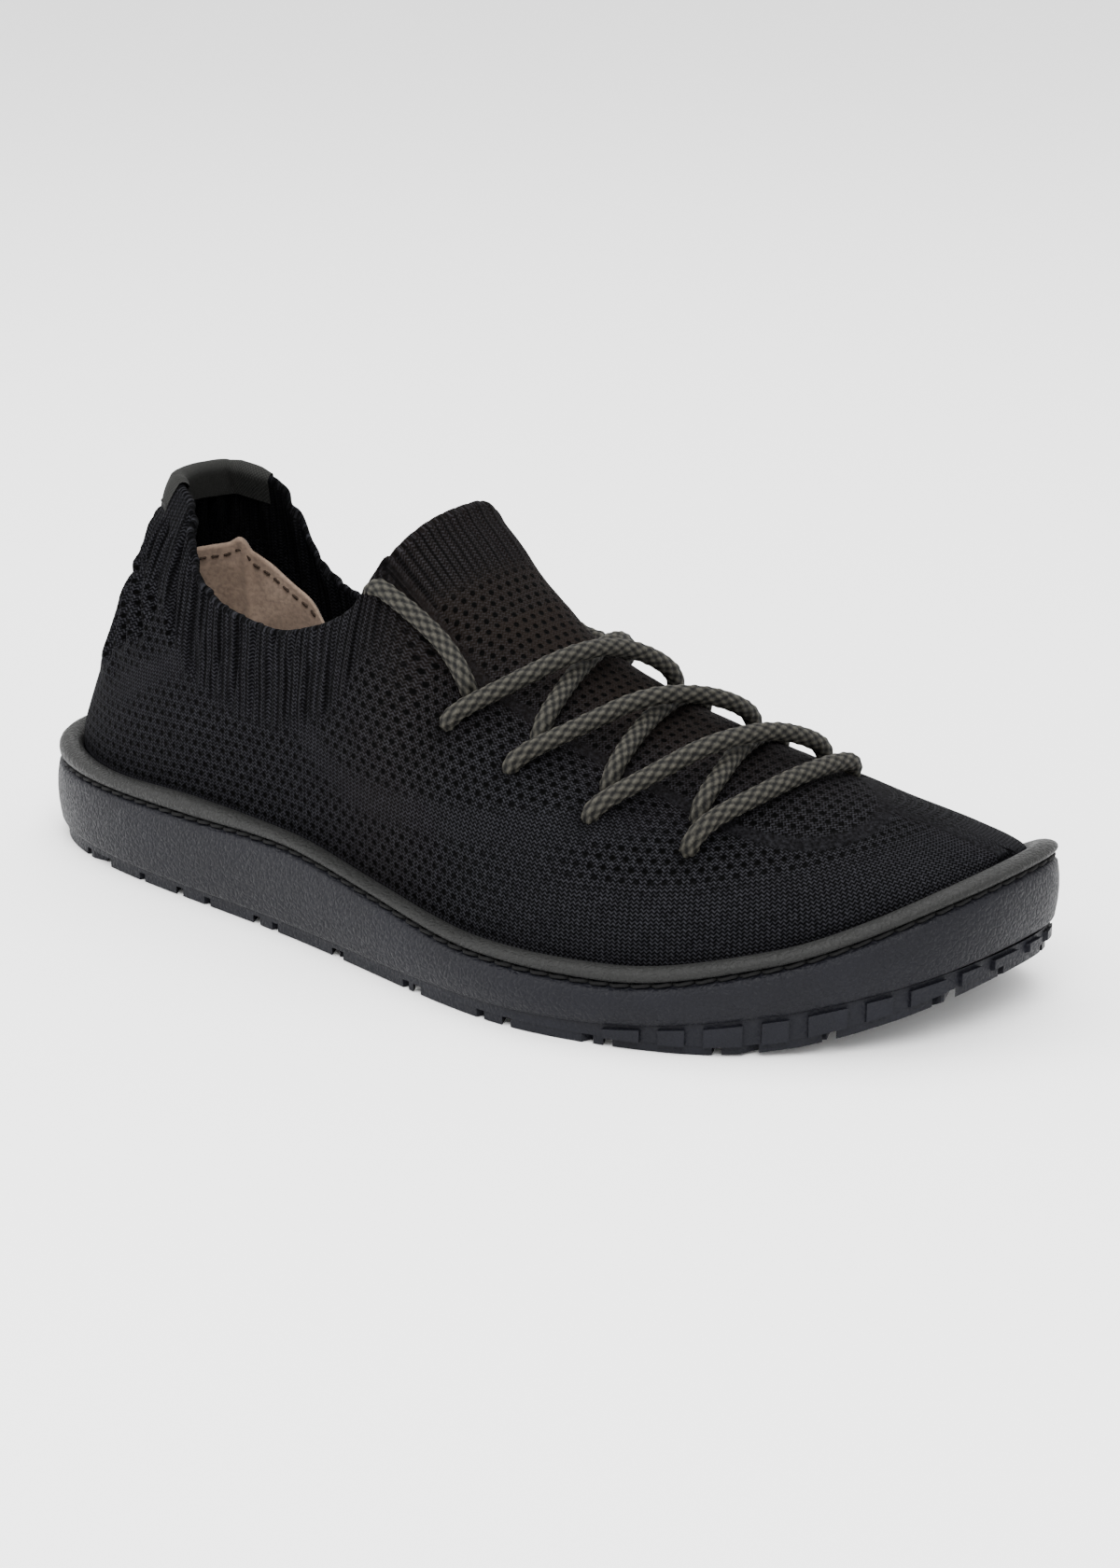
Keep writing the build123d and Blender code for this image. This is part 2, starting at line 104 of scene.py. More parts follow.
def grid_mesh(name, grid, attributes=None, close_u=False, close_v=False, flip=False, part_frame=False):
    """A smooth quad mesh through grid[i, j], in mm, with float or vector point attributes."""
    columns, rows = grid.shape[:2]
    index = np.arange(columns * rows).reshape(columns, rows)
    if close_u:
        index = np.vstack([index, index[:1]])
    if close_v:
        index = np.hstack([index, index[:, :1]])
    corners = [index[:-1, :-1], index[1:, :-1], index[1:, 1:], index[:-1, 1:]]
    faces = np.stack(corners[::-1] if flip else corners, -1).reshape(-1, 4)
    shift = (0, 0, 0) if part_frame else (HEEL_X, 0, 0)
    points = (grid.reshape(-1, 3) + shift) * MM
    mesh = bpy.data.meshes.new(name)
    mesh.from_pydata(points.tolist(), [], faces.tolist())
    mesh.polygons.foreach_set("use_smooth", np.ones(len(faces), bool))
    for key, values in (attributes or {}).items():
        values = np.asarray(values, np.float32)
        vector = values.ndim == 3
        layer = mesh.attributes.new(key, "FLOAT_VECTOR" if vector else "FLOAT", "POINT")
        layer.data.foreach_set("vector" if vector else "value", values.reshape(-1))
    piece = bpy.data.objects.new(name, mesh)
    bpy.context.scene.collection.objects.link(piece)
    return piece


def lace_line():
    """Points along the lace's centreline, in mm, read from a smooth curve on its corners."""
    data = bpy.data.curves.new("lace_line", "CURVE")
    data.dimensions = "3D"
    data.resolution_u = 16
    spline = data.splines.new("NURBS")
    spline.points.add(len(LACE_ROUTE) - 1)
    for point, (x, y, z) in zip(spline.points, LACE_ROUTE):
        point.co = (x * MM, y * MM, z * MM, 1)
    spline.order_u = 3
    spline.use_endpoint_u = True
    line = bpy.data.objects.new("lace_line", data)
    bpy.context.scene.collection.objects.link(line)
    mesh = bpy.data.meshes.new_from_object(line)
    points = np.array([v.co for v in mesh.vertices]) / MM
    bpy.data.objects.remove(line)
    bpy.data.meshes.remove(mesh)
    return points


def line_lengths(line):
    """Distance to each point along a line."""
    return np.concatenate([[0], np.cumsum(np.linalg.norm(np.diff(line, axis=0), axis=1))])


def points_at(places, lengths, line):
    """Points of a line at places, where its own points are at lengths."""
    return np.stack([np.interp(places, lengths, line[:, k]) for k in range(line.shape[1])], -1)


def even_line(line, step):
    """The same line with evenly spaced points, and the distance to each along it."""
    lengths = line_lengths(line)
    places = np.linspace(0, lengths[-1], int(lengths[-1] / step) + 1)
    return points_at(places, lengths, line), places


def carried_frames(line):
    """Two directions across a line at each point, carried along it without twist."""
    tangents = np.gradient(line, axis=0)
    tangents /= np.linalg.norm(tangents, axis=1)[:, None]
    across = np.cross(tangents[0], (0.3, 1, 0.2))
    sides = []
    for tangent in tangents:
        across = across - tangent * (across @ tangent)
        across = across / np.linalg.norm(across)
        sides.append(across)
    sides = np.array(sides)
    return sides, np.cross(tangents, sides)


BRAID_PITCH = 3.4          # length over which a strand goes once past its neighbour, in mm
BRAID_PAIRS = 6            # strands running each way round the lace
BRAID_DEPTH = 0.34         # depth of the gaps between strands, in mm


def braid_relief(turn, along):
    """Height 0 to 1 of a herringbone braid at turn (0 to 1 round the lace) and distance along it."""
    a = turn * BRAID_PAIRS + along / BRAID_PITCH
    b = turn * BRAID_PAIRS - along / BRAID_PITCH
    over = np.clip(0.5 + 2.5 * np.cos(math.pi * (a + b)) * np.cos(math.pi * (a - b)), 0, 1)
    strand_a = (0.5 + 0.5 * np.cos(2 * math.pi * a)) ** 0.7
    strand_b = (0.5 + 0.5 * np.cos(2 * math.pi * b)) ** 0.7
    return strand_a * over + strand_b * (1 - over)


def tube(line, radius, around, relief=None, depth=0.0):
    """Grid of a round tube along a line in mm; relief(turn, along) takes up to depth off its surface."""
    sides, ups = carried_frames(line)
    along = line_lengths(line)
    turn = np.arange(around) / around
    angle = turn * 2 * math.pi
    turns, alongs = np.meshgrid(turn, along)
    height = relief(turns, alongs) if relief else np.ones_like(turns)
    reach = radius + depth * (height - 1)
    ring = sides[:, None] * np.cos(angle)[None, :, None] + ups[:, None] * np.sin(angle)[None, :, None]
    grid = line[:, None] + ring * reach[..., None]
    weave = np.stack([turns, alongs, 0 * turns], -1)
    return grid, {"relief": height, "weave": weave}


def capped(grid):
    """Draws a tube's two ends in to a point."""
    grid = grid.copy()
    grid[0] = grid[0].mean(0)
    grid[-1] = grid[-1].mean(0)
    return grid


def stands_for(piece, node):
    """Marks a piece as the visible form of a CAD node that is fixed to the shoe."""
    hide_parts(node)
    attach(piece, "root")


lace_path = lace_line()
lace_points, lace_along = even_line(lace_path, 0.3)
lace_grid, lace_marks = tube(lace_points, LACE_D / 2, 24, braid_relief, BRAID_DEPTH)
lace = grid_mesh("lace_braid", capped(lace_grid), lace_marks, close_v=True, flip=True, part_frame=True)
stands_for(lace, "lace")

# ---------------------------------------------------------------- profiles of the shoe

OUTLINE = [
    (0.5, 4.5), (5, -10), (15, -19), (31, -26), (60, -32), (90, -36.5), (119, -42.5),
    (149, -49.5), (174, -51.7), (191, -48.7), (207, -43.2), (223, -33.7), (237, -22.3),
    (248, -10), (254, 4.7), (255.5, 17.2), (254, 31.3), (245, 43.3), (229, 49.8),
    (205, 51.7), (180, 48.3), (150, 41.3), (120, 36.3), (90, 35.2), (60, 36.2),
    (30, 34.3), (14, 29.3), (4, 19.7),
]
PARTING_LINE = [(0, 3.7), (32, 3.5), (64, 3.2), (128, 3.4), (160, 4.2), (192, 4.9),
                (224, 8.9), (240, 13.0), (256, 18.5)]
GROOVE_LINE = [(0, 19.2), (64, 20.2), (96, 21.2), (128, 18), (160, 14.3), (192, 13.9),
               (224, 19.3), (256, 33.5)]
RIM_LINE = [(0, 25), (32, 23.2), (64, 24.5), (96, 24), (128, 20.2), (160, 17.1),
            (192, 17.3), (224, 22.4), (256, 36.5)]
RIDGE = [
    (7, 25.5), (9.3, 33), (12.8, 43), (17.8, 53), (23.8, 63), (30, 74), (35, 84), (38, 91), (41, 96),
    (47, 98), (75, 99), (106, 99), (112, 97.5), (117, 93.5), (122, 88.5), (129, 81), (136, 74),
    (145, 67), (157, 61), (175, 54.5), (195, 50), (212, 46.3), (224, 43.6), (234, 41.2),
    (241, 39.2), (246, 37.4), (249.5, 36),
]
RIDGE_Y = [(0, 4.5), (30, 4.2), (60, 2.5), (100, 4), (120, 8), (145, 9), (180, 7.5),
           (210, 8), (235, 11), (250, 16)]
FULL = {
    -1: [(0, 1.6), (12, 1.7), (36, 1.9), (60, 2.4), (110, 2.5), (150, 2.5), (200, 2.3), (250, 2.1)],
    1: [(0, 1.6), (12, 1.7), (36, 1.9), (60, 2.3), (110, 2.3), (150, 2.2), (200, 2.0), (250, 1.8)],
}
TAB_FRONT, TAB_TOP = 44, 90.5
COLLAR = {
    -1: [(TAB_FRONT, TAB_TOP), (52, 87.5), (56.5, 80), (61, 73), (70, 68), (87, 66), (99, 69),
         (108, 73.5), (112, 79), (115, 90)],
    1: [(TAB_FRONT, TAB_TOP), (52, 87.5), (55, 79), (57, 71), (61, 64.5), (70, 60.5), (87, 60),
        (99, 65), (108, 72), (112, 78.5), (115, 90)],
}
SLIT = {-1: -18.85, 1: 20.85}
ROOT_X, ROOT_Z = 137.0, 73.2
TONGUE_TOP = (113.0, 78.0)
TONGUE_LEAN = 0.35
TOE_END = 226.0            # front end of the line where both sides of the upper meet
KNIT = 2.2
UPPER_INSET = 6.3
SIDES = (-1, 1)


def smooth(points):
    """A smooth curve through points that never overshoots them."""
    xs, zs = np.array(points, float).T
    slopes = np.diff(zs) / np.diff(xs)
    same = slopes[:-1] * slopes[1:] > 0
    total = np.where(same, slopes[:-1] + slopes[1:], 1)
    inner = np.where(same, 2 * slopes[:-1] * slopes[1:] / total, 0)
    tangents = np.concatenate([slopes[:1], inner, slopes[-1:]])

    def curve(x):
        x = np.clip(x, xs[0], xs[-1])
        i = np.clip(np.searchsorted(xs, x, side="right") - 1, 0, len(xs) - 2)
        width = xs[i + 1] - xs[i]
        t = (x - xs[i]) / width
        rise = (1 + 2 * t) * (1 - t) ** 2 * zs[i] + t * t * (3 - 2 * t) * zs[i + 1]
        lean = t * (1 - t) ** 2 * tangents[i] - t * t * (1 - t) * tangents[i + 1]
        return rise + lean * width

    return curve


parting = smooth(PARTING_LINE)
groove = smooth(GROOVE_LINE)
rim = smooth(RIM_LINE)
ridge = smooth(RIDGE)
ridge_y = smooth(RIDGE_Y)
full = {side: smooth(FULL[side]) for side in SIDES}
collar = {side: smooth(COLLAR[side]) for side in SIDES}


def closed_line(points, steps):
    """Even points on the smooth closed curve through points, starting at the first."""
    p = np.array(points, float)
    count = len(p)
    h = np.linalg.norm(np.roll(p, -1, 0) - p, axis=1)
    chords = (np.roll(p, -1, 0) - p) / h[:, None]
    system = np.zeros((count, count))
    for i in range(count):
        system[i, i - 1] += h[i - 1]
        system[i, i] += 2 * (h[i - 1] + h[i])
        system[i, (i + 1) % count] += h[i]
    bend = np.linalg.solve(system, 6 * (chords - np.roll(chords, 1, 0)))
    t = np.linspace(0, 1, 60, endpoint=False)[:, None]
    dense = []
    for i in range(count):
        j = (i + 1) % count
        dense.append(p[i] * (1 - t) + p[j] * t + h[i] ** 2 / 6 * (((1 - t) ** 3 - (1 - t)) * bend[i]
                                                                  + (t ** 3 - t) * bend[j]))
    dense = np.vstack(dense + [p[:1]])
    lengths = line_lengths(dense)
    return points_at(np.linspace(0, lengths[-1], steps, endpoint=False), lengths, dense)


def inwards(line):
    """Unit directions pointing inwards from a closed plan line."""
    tangent = np.roll(line, -1, 0) - np.roll(line, 1, 0)
    tangent /= np.linalg.norm(tangent, axis=1)[:, None]
    return np.stack([-tangent[:, 1], tangent[:, 0]], -1)


outline = closed_line(OUTLINE, 1440)
feather = outline + inwards(outline) * UPPER_INSET
back_point = int(feather[:, 0].argmin())
feather = np.roll(feather, -back_point, 0)
toe_point = int(feather[:, 0].argmax())
feather_half = {-1: feather[:toe_point + 1], 1: np.vstack([feather[toe_point:], feather[:1]])[::-1]}


def height(x, y):
    """Height of the foot form over (x, y)."""
    left, right = [np.interp(x, feather_half[side][:, 0], feather_half[side][:, 1]) for side in SIDES]
    middle = np.clip(ridge_y(x), left + 2, right - 2)
    outer = y < middle
    share = np.where(outer, (middle - y) / (middle - left), (y - middle) / (right - middle))
    fullness = np.where(outer, full[-1](x), full[1](x))
    rise = (1 - np.clip(share, 0, 1) ** fullness) ** (1 / fullness)
    spring = rim(x) - 1
    return spring + (np.maximum(ridge(x), spring + 0.6) - spring) * rise


def side_y(x, z, side):
    """Where the form's outer face is at height z, on one side."""
    edge = np.interp(x, feather_half[side][:, 0], feather_half[side][:, 1])
    middle = ridge_y(x)
    spring = rim(x) - 1
    rise = np.clip((z - spring) / (ridge(x) - spring), 0, 1)
    return middle + (edge - middle) * (1 - rise ** full[side](x)) ** (1 / full[side](x))


def root_line(y):
    """Distance from the heel where the tongue's root crosses the form at y."""
    x = np.full_like(y, ROOT_X)
    for _ in range(40):
        x = x + 0.35 * (height(x, y) - ROOT_Z + ROOT_X - x)
    return x


def tongue_top_line(y):
    """Distance from the heel where the tongue's top edge crosses the form at y."""
    x = np.full_like(y, TONGUE_TOP[0])
    for _ in range(60):
        x = 0.6 * x + 0.4 * (TONGUE_TOP[0] + TONGUE_LEAN * (height(x, y) - TONGUE_TOP[1]))
    return x


def top_edge(side):
    """Plan line of the upper's top edge from heel tab to toe, and where each stretch of it ends."""
    back_x = np.linspace(30, 41, 400)
    tab_start = float(np.interp(TAB_TOP, ridge(back_x), back_x))
    tab_x = tab_start + (TAB_FRONT - tab_start) * np.linspace(0, 1, 30) ** 2
    edge_x = np.linspace(TAB_FRONT, 114.5, 200)[1:]
    tab = np.stack([tab_x, side_y(tab_x, TAB_TOP, side)], -1)
    edge = np.stack([edge_x, side_y(edge_x, collar[side](edge_x), side)], -1)
    past = (edge[:, 1] * side < SLIT[side] * side) & (edge_x > 108)
    edge = edge[:int(past.argmax())] if past.any() else edge
    root_start = root_line(np.array([SLIT[side]]))[0]
    slit = np.stack([np.linspace(edge[-1, 0], root_start, 30)[1:], np.full(29, SLIT[side])], -1)
    root_y = np.linspace(SLIT[side], ridge_y(ROOT_X), 40)[1:]
    root = np.stack([root_line(root_y), root_y], -1)
    front_x = np.linspace(root[-1, 0], TOE_END, 120)[1:]
    front = np.stack([front_x, ridge_y(front_x)], -1)
    line = np.vstack([tab, edge, slit, root, front])
    ends = np.cumsum([len(tab), len(edge), len(slit), len(root), len(front)]) - 1
    return line, ends


COLUMNS = 470              # mesh columns on each side of the upper, from heel to toe
ROWS = 74                  # mesh rows from the sole's rim to the top edge
PAIR_X = (31, 117, 131, 143)   # feather line x that meets the end of tab, collar, slit and root


def upper_side(side):
    """Outer face of one side of the upper as grid[column, row], with distances along and up it."""
    base = feather_half[side]
    base_length = line_lengths(base)
    top, ends = top_edge(side)
    top_length = line_lengths(top)
    pairs = [(0, 0)]
    pairs += [(float(np.interp(x, base[:, 0], base_length)), float(top_length[e]))
              for x, e in zip(PAIR_X, ends)]
    pairs += [(float(base_length[-1]), float(top_length[-1]))]
    places = np.linspace(0, base_length[-1], COLUMNS)
    partner = smooth(pairs)(places)
    low = points_at(places, base_length, base)
    high = points_at(partner, top_length, top)
    fine = np.linspace(0, 1, 260) ** 2.4
    plan = low[:, None] + (high - low)[:, None] * fine[None, :, None]
    z = height(plan[..., 0], plan[..., 1])
    dense = np.concatenate([plan, z[..., None]], -1)
    step = np.linalg.norm(np.diff(dense, axis=1), axis=2)
    up = np.concatenate([np.zeros((COLUMNS, 1)), np.cumsum(step, 1)], 1)
    share = np.linspace(0, 1, ROWS)
    grid = np.array([points_at(share * ups[-1], ups, column) for ups, column in zip(up, dense)])
    rise = share[None] * up[:, -1:]
    marks = {"along": np.repeat(places[:, None], ROWS, 1), "rise": rise, "drop": up[:, -1:] - rise,
             "partner": np.repeat(partner[:, None], ROWS, 1)}
    stops = [float(top_length[e]) for e in ends]
    return grid, marks, stops


def form_normals(grid):
    """Outward unit normals of the foot form at a grid's points."""
    x, y = grid[..., 0], grid[..., 1]
    reach = 0.2
    slope_x = (height(x + reach, y) - height(x - reach, y)) / (2 * reach)
    slope_y = (height(x, y + reach) - height(x, y - reach)) / (2 * reach)
    normals = np.stack([-slope_x, -slope_y, np.ones_like(x)], -1)
    return normals / np.linalg.norm(normals, axis=2)[..., None]


def ramp(x, low, high):
    """Smooth step from 0 at low to 1 at high."""
    t = np.clip((x - low) / (high - low), 0, 1)
    return t * t * (3 - 2 * t)


# Where the lace goes through the knit, (distance from heel, y).
LACE_HOLES = [
    (141.5, -24.5), (139.0, -31.0), (159.5, -25.0), (156.5, -31.8), (178.3, -26.2), (177.8, -33.2),
    (198.0, -22.3), (200.0, -29.0), (141.0, 23.5), (149.0, 22.5), (163.0, 23.0), (170.8, 22.5),
    (183.0, 24.0), (190.8, 23.0), (201.3, 24.0), (209.0, 22.5),
]
BAND_PAST = {-1: 2.0, 1: 8.0}    # how far the binding runs past the tab's corner on each side
HOLE_DIMPLE = 0.9          # how far the lace pulls the knit in round its holes, in mm
WALE_GROUP = 6.4           # spacing of the deep grooves in the collar's rib, in mm
COLLAR_BAND = 21.0         # height of the ribbed band under the collar edge
DEEPEST = 1.8              # no fold is deeper than this, so that the stiffener stays covered
BINDING_REACH = 6.5        # the tab's binding covers the knit this far down

# Creases in the knit beside the heel: (along, drop) from and to, half width, depth, all in mm.
CREASES = [
    ((14, 12), (26, 44), 2.6, 1.5), ((24, 8), (36, 38), 2.2, 1.3), ((35, 14), (45, 34), 2.0, 1.0),
    ((6, 20), (16, 46), 2.4, 0.9), ((46, 3), (50, 26), 1.8, 0.8), ((20, 30), (34, 22), 2.0, 0.8),
    ((57, 2), (60, 22), 1.7, 0.9), ((68, 2), (69, 20), 1.6, 0.6),
]


def crease(along, drop, start, end, width, depth):
    """Depth of a soft-ended crease between two places."""
    start, end = np.array(start, float), np.array(end, float)
    run = end - start
    t = np.clip(((along - start[0]) * run[0] + (drop - start[1]) * run[1]) / (run @ run), 0, 1)
    gap = np.hypot(along - start[0] - t * run[0], drop - start[1] - t * run[1])
    return depth * (1.5 * np.exp(-(gap / width) ** 2) - 0.7 * np.exp(-((gap / width - 2.1) / 0.9) ** 2))


def softness(grid, size):
    """Slow, even undulation of cloth, about -1 to 1."""
    x, y, z = grid[..., 0] / size, grid[..., 1] / size, grid[..., 2] / size
    return (np.sin(x + 1.3 * np.sin(y * 0.7 + z)) + np.sin(1.7 * z - 0.8 * x + np.sin(y)) +
            np.sin(1.3 * y + 0.9 * z + 2.1)) / 3


def upper_relief(grid, marks, stops):
    """How far the knit stands off the form, and how ribbed it is."""
    along, rise, drop, partner = [marks[key] for key in ("along", "rise", "drop", "partner")]
    tab_end, collar_end, slit_end = stops[:3]
    on_collar = 1 - ramp(partner, collar_end - 2, slit_end - 2)
    rib = on_collar * (1 - ramp(drop, COLLAR_BAND - 4, COLLAR_BAND + 3))
    sway = 0.9 * np.sin(along / 17.0 + drop / 9.0) + 0.5 * np.sin(along / 6.3 - drop / 5.0)
    wave = ((0.5 * along + 0.5 * partner + sway) / WALE_GROUP) % 1.0 - 0.5
    depth = 1.05 + 0.45 * np.sin(along / 9.0 + 1.0) * np.sin(drop / 7.0 + along / 23.0)
    grooves = np.exp(-(wave * WALE_GROUP / 0.8) ** 2)
    relief = rib * (0.3 + 0.25 * np.cos(wave * 2 * math.pi) - depth * grooves)
    for start, end, width, depth in CREASES:
        relief -= crease(along, drop, start, end, width, depth)
    for hole_x, hole_y in LACE_HOLES:
        gap = (grid[..., 0] - hole_x) ** 2 + (grid[..., 1] - hole_y) ** 2
        relief -= HOLE_DIMPLE * np.exp(-gap / 6.0)
    relief = np.maximum(relief + 0.35 * softness(grid, 9.0) + 0.2 * softness(grid, 4.0), -DEEPEST)
    bound = 1 - ramp(partner, tab_end + BAND_PAST[1], tab_end + BAND_PAST[1] + 4)
    relief *= 1 - 0.85 * bound * (1 - ramp(drop, BINDING_REACH, BINDING_REACH + 3.5))
    at_front = ramp(partner, slit_end - 4, slit_end + 2)
    relief *= ramp(rise, 0.5, 4) * ramp(along, 0.3, 3.5) * (1 - at_front * (1 - ramp(drop, 0.0, 4.0)))
    return relief, rib


EDGE_ROWS = 5              # mesh rows that round the top edge
# The outer rows that the inner face uses again, from the top edge down.
INNER_ROWS = [-1, -3, -6, -10, -15, -21, -28, -36, -45, -54, -62, -68, -73]


def with_thickness(outer, normals, roll, lining_side):
    """Adds a rounded top edge to an outer face, then an inner face under lining_side, as more rows."""
    last, normal = outer[:, -1], normals[:, -1]
    lift = last - outer[:, -2]
    lift /= np.maximum(np.linalg.norm(lift, axis=1), 1e-9)[:, None]
    edge = []
    for turn in math.pi * np.arange(1, EDGE_ROWS + 1) / (EDGE_ROWS + 1):
        edge.append(last - normal * KNIT * (1 - math.cos(turn)) / 2
                    + lift * (math.sin(turn) * KNIT / 2 * roll)[:, None])
    inner = lining_side[:, INNER_ROWS] - normals[:, INNER_ROWS] * KNIT
    return np.concatenate([outer, np.stack(edge, 1), inner], 1)


def stretched(values):
    """Repeats point values for the rows that with_thickness adds."""
    return np.concatenate([values] + [values[:, -1:]] * EDGE_ROWS + [values[:, INNER_ROWS]], 1)


THROAT = (-20.3, 22.3)     # the strip down the instep where the knit's rows run across, in y
THROAT_END = (200.0, 227.0)    # where the strip narrows to its rounded end
THROAT_START = 112.0
PATTERN_SHIFT = 100        # keeps the pattern's place across the strip above zero
SKIRT = (7.0, 3.0)         # how far the upper's two lowest rows hang inside the sole's rim
INNER_DENT = 0.5           # folds deeper than this don't show on the inner face


def calm_share(x, y, along):
    """1 along the lines where two knit directions meet, 0 elsewhere; and where the throat strip is."""
    half = (THROAT[1] - THROAT[0]) / 2
    ahead = np.maximum(x - THROAT_END[0], 0) / (THROAT_END[1] - THROAT_END[0])
    gap = np.hypot(ahead * half, y - sum(THROAT) / 2) - half
    edge = (1 - ramp(np.abs(gap), 0.9, 2.1)) * ramp(x, THROAT_START - 4, THROAT_START + 2)
    toe = (1 - ramp(np.abs(y - ridge_y(x)), 0.6, 1.6)) * ramp(x, THROAT_END[1] - 3, THROAT_END[1])
    heel = 1 - ramp(along, 0.6, 1.6)
    return np.maximum(np.maximum(edge, toe), heel), (gap < 0) & (x > THROAT_START)


def ridge_arc(x):
    """Distance along the form's top line at x, falling towards the toe."""
    xs = np.linspace(100, 256, 400)
    arcs = np.concatenate([[0], np.cumsum(np.hypot(np.diff(xs), np.diff(ridge(xs))))])
    return 400 - np.interp(x, xs, arcs)


def build_upper():
    """Meshes of both sides of the knit upper, and the faces that linings and bindings follow."""
    parts = []
    faces = {}
    for side in SIDES:
        grid, marks, stops = upper_side(side)
        normals = form_normals(grid)
        relief, rib = upper_relief(grid, marks, stops)
        outer = grid + normals * relief[..., None]
        faces[side] = (grid, normals, marks, stops)
        roll = 1 - ramp(marks["partner"][:, 0], stops[2] - 3, stops[2])
        calmer = grid + normals * np.maximum(relief, -INNER_DENT)[..., None]
        shell = with_thickness(outer, normals, roll, calmer)
        shell = np.concatenate([np.stack([outer[:, 0] - (0, 0, drop) for drop in SKIRT], 1), shell], 1)

        def whole(values):
            values = stretched(values)
            return np.concatenate([values[:, :1], values[:, :1], values], 1)

        x, y = grid[..., 0], grid[..., 1]
        calm, throat = calm_share(x, y, marks["along"])
        across = np.where(throat, y + PATTERN_SHIFT, marks["along"])
        up = np.where(throat, ridge_arc(x), marks["rise"])
        # Painted shade: the inner part of the rounded top edge and the whole inner face are darkened,
        # and so is the outer face round each lace hole.
        painted_shade = np.zeros(shell.shape[:2])
        painted_shade[:, len(SKIRT) + ROWS + 3:] = 1
        for hole_x, hole_y in LACE_HOLES:
            shade = 1.3 * np.exp(-((x - hole_x) ** 2 + (y - hole_y) ** 2) / 5.0)
            outer_face_shade = painted_shade[:, len(SKIRT):len(SKIRT) + ROWS]
            outer_face_shade[:] = np.maximum(outer_face_shade, shade)
        parts.append(grid_mesh(f"upper_{side}", shell, {
            "weave": np.stack([whole(across), whole(up), whole(calm)], -1),
            "zones": np.stack([whole(zone) for zone in zone_marks(grid, marks, rib, calm)], -1),
            "painted_shade": painted_shade}, flip=side > 0))
    return parts, faces


def zone_marks(grid, marks, rib, calm):
    """Ribbed share, open-mesh share and warm tint at each point."""
    x, y = grid[..., 0], grid[..., 1]
    along, rise = marks["along"], marks["rise"]
    # The plain band is an arc from behind the instep down to the sole and forward along it.
    arc_top = smooth([(20, 14), (40, 20), (60, 29), (84, 33), (100, 30), (112, 22), (126, 17),
                      (150, 20), (180, 26), (215, 34), (250, 60), (320, 60)])
    gap = rise - arc_top(along)
    toe_mesh = ramp(rise, 13, 19) * ramp(x, 165, 185)
    band = np.exp(-(gap / 3.6) ** 4) * ramp(along, 30, 44) * (1 - ramp(along, 190, 215))
    toe_plain = ramp(along, 150, 200) * (1 - ramp(gap, 0, 6)) * (1 - toe_mesh)
    toe_cap = ramp(x, 236, 245)
    mesh = (1 - rib) * (1 - band) * (1 - toe_plain) * (1 - toe_cap) * (1 - calm)
    warm = np.exp(-((x - 165) / 38) ** 2 - ((y - 4) / 20) ** 2)
    warm += 0.8 * np.exp(-((x - 128) / 16) ** 2 - (y / 30) ** 2)
    return rib, np.clip(mesh, 0, 1), np.clip(warm, 0, 1)


upper_parts, upper_faces = build_upper()


def joined_pieces(name, pieces):
    """One mesh object from several grid meshes."""
    bpy.ops.object.select_all(action="DESELECT")
    for piece in pieces:
        piece.select_set(True)
    bpy.context.view_layer.objects.active = pieces[0]
    bpy.ops.object.join()
    pieces[0].name = name
    pieces[0].data.name = name
    return pieces[0]


upper = joined_pieces("knit_upper_skin", upper_parts)
stands_for(upper, "knit_upper")

# ---------------------------------------------------------------- tongue

TONGUE_COLUMNS = 150
TONGUE_ROWS = 90
TONGUE_WALE = 4.4          # spacing of the tongue's ribs, in mm


def build_tongue():
    """Ribbed flap in front of the ankle, from its root on the instep to a thick rolled edge."""
    y = np.linspace(SLIT[-1] + 0.5, SLIT[1] - 0.5, TONGUE_COLUMNS)
    low, high = root_line(y), tongue_top_line(y)
    share = np.linspace(0, 1, TONGUE_ROWS)
    x = low[:, None] + (high - low)[:, None] * share[None]
    ys = np.repeat(y[:, None], TONGUE_ROWS, 1)
    grid = np.stack([x, ys, height(x, ys)], -1)
    step = np.linalg.norm(np.diff(grid, axis=1), axis=2)
    up = np.concatenate([np.zeros((TONGUE_COLUMNS, 1)), np.cumsum(step, 1)], 1)
    normals = form_normals(grid)
    drop = up[:, -1:] - up
    rib = ramp(up, 8, 15)
    wave = (ys / TONGUE_WALE) % 1.0 - 0.5
    relief = rib * (0.2 - 0.35 * np.exp(-(wave * TONGUE_WALE / 0.7) ** 2))
    relief += 0.25 * softness(grid, 6.0) * ramp(up, 0, 6)
    relief += 0.7 * np.exp(-(drop / 2.2) ** 2)
    edge = np.minimum(ys - y[0], y[-1] - ys)
    relief -= 0.8 * (1 - ramp(edge, 0, 2.0))
    outer = grid + normals * relief[..., None]
    shell = with_thickness(outer, normals, np.full(TONGUE_COLUMNS, 1.5), outer)
    weave = [ys + PATTERN_SHIFT, ridge_arc(x), 0 * ys]
    zones = [rib, 1 - rib, 0.75 - 0.35 * rib]
    # Painted shade: the inner part of the rolled edge and the inner face are darkened.
    painted_shade = np.zeros(shell.shape[:2])
    painted_shade[:, TONGUE_ROWS + 3:] = 1
    return grid_mesh("tongue_skin", shell, {
        "weave": np.stack([stretched(values) for values in weave], -1),
        "zones": np.stack([stretched(values) for values in zones], -1), "painted_shade": painted_shade}, flip=True)


tongue = build_tongue()
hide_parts("tongue")
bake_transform(tongue)

# ---------------------------------------------------------------- sole

SOLE_COLUMNS = 900
BEAD_INSET = 6.2


